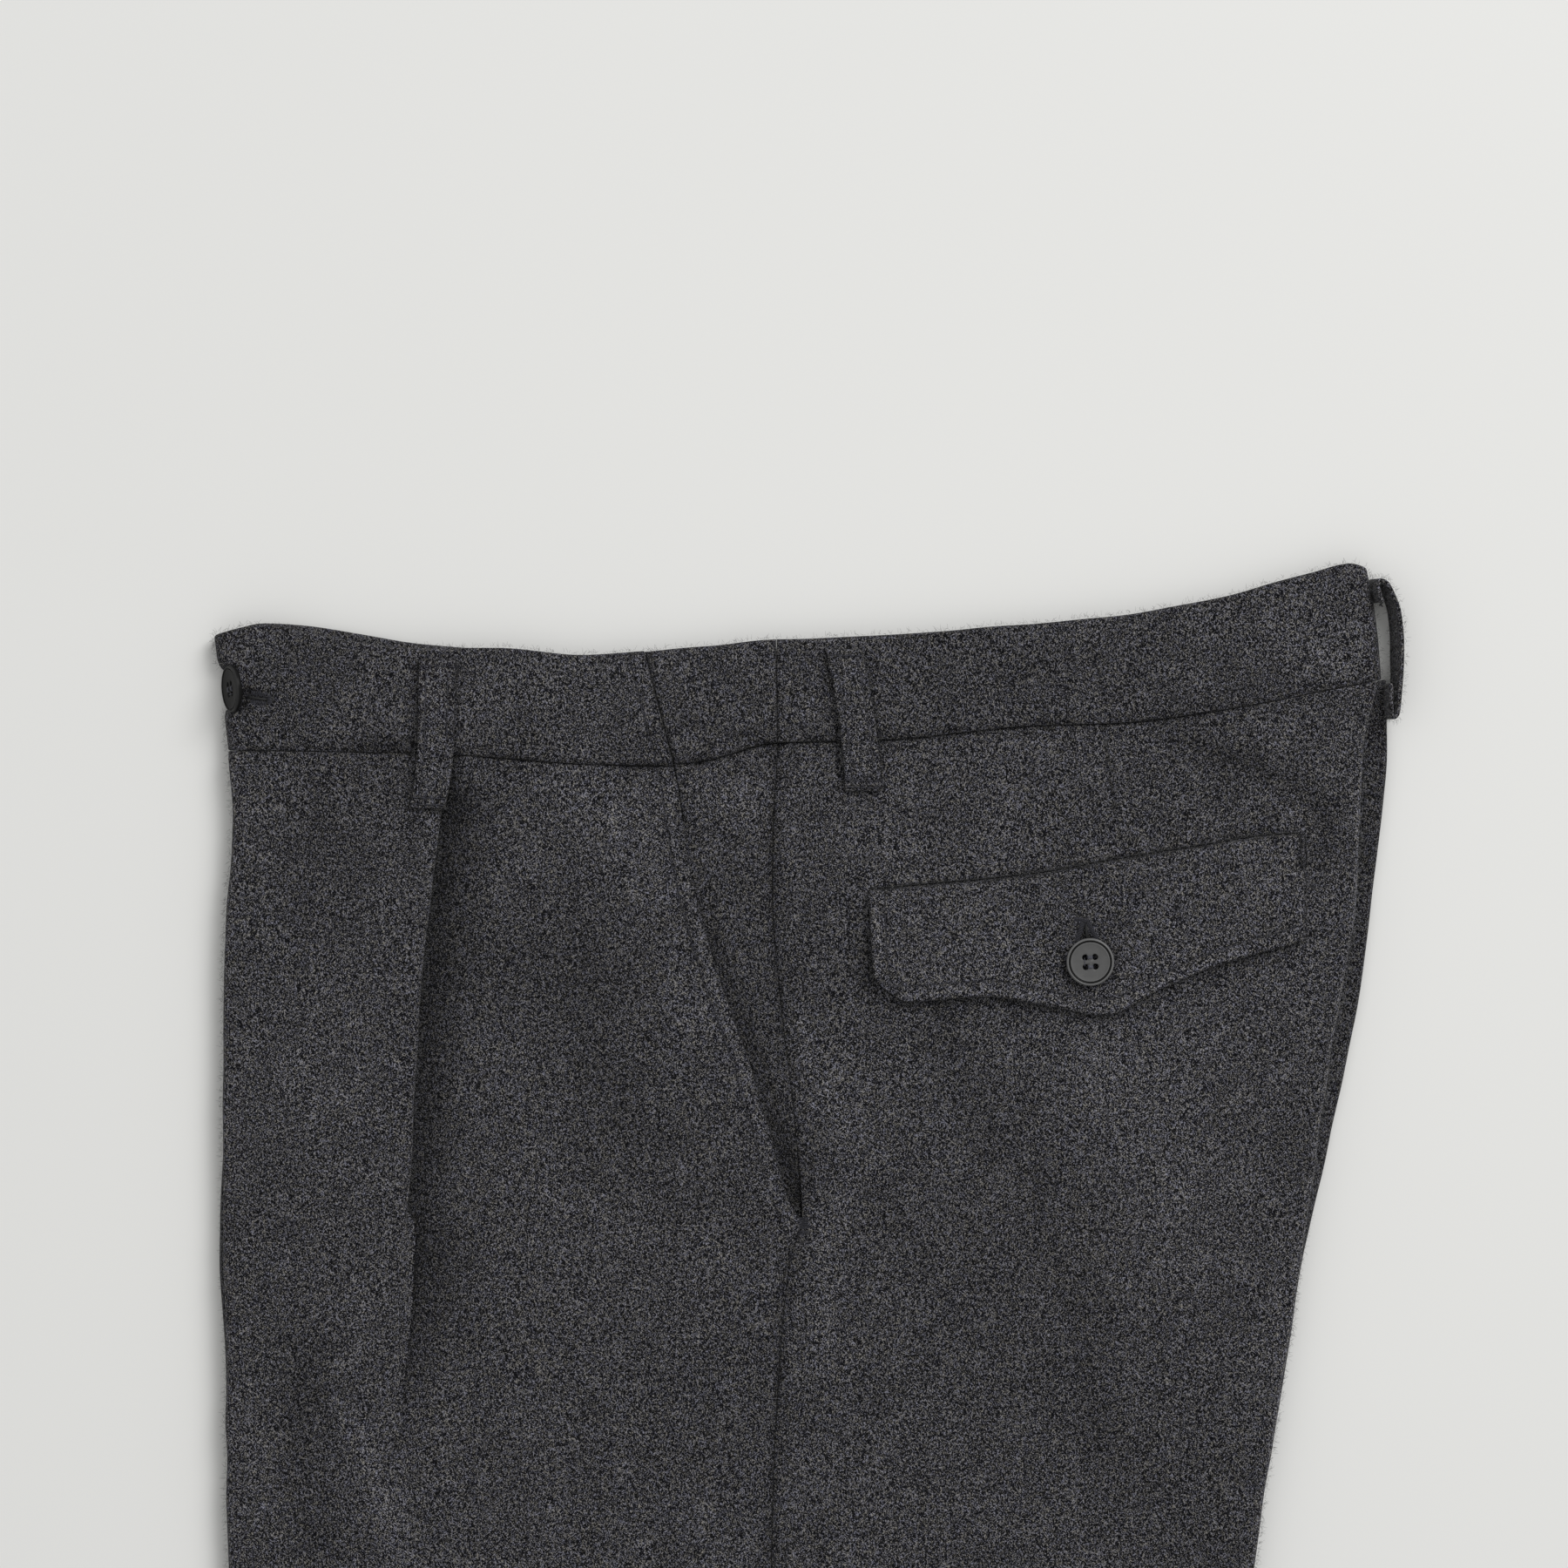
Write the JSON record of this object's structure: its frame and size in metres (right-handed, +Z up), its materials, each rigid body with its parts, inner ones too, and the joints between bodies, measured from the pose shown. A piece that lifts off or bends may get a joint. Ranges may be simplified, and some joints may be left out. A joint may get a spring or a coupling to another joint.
{
  "type": "wide-leg trousers",
  "caption": "Wide-leg flannel trousers laid flat in profile, with front pleat, slanted pocket, belt loops and a buttoned back flap pocket.",
  "frame": {"origin": "on the surface the trousers lie on, under the middle of their bounding box", "axes": "+X to the back of the garment, +Y to the waist, +Z up from the surface, out of the wearer's left side"},
  "size_m": [0.3901, 1.0554, 0.0154],
  "materials": {
    "flannel": "matt brushed wool flannel, charcoal melange, short nap",
    "button": "dark grey horn-like resin, satin rim and dull grey face"
  },
  "bodies": {
    "root": {"left_front": "flannel", "left_back": "flannel", "left_pocket_facing": "flannel", "left_waistband_front": "flannel", "left_waistband_side": "flannel", "left_waistband_back": "flannel", "right_front": "flannel", "right_back": "flannel", "right_pocket_facing": "flannel", "right_waistband_front": "flannel", "right_waistband_side": "flannel", "right_waistband_back": "flannel", "back_pocket_flap": "flannel", "belt_loop_left_front": "flannel", "belt_loop_left_side": "flannel", "belt_loop_right_front": "flannel", "belt_loop_right_side": "flannel", "belt_loop_back": "flannel", "waist_button": "button", "flap_button": "button"}
  },
  "joints": []
}
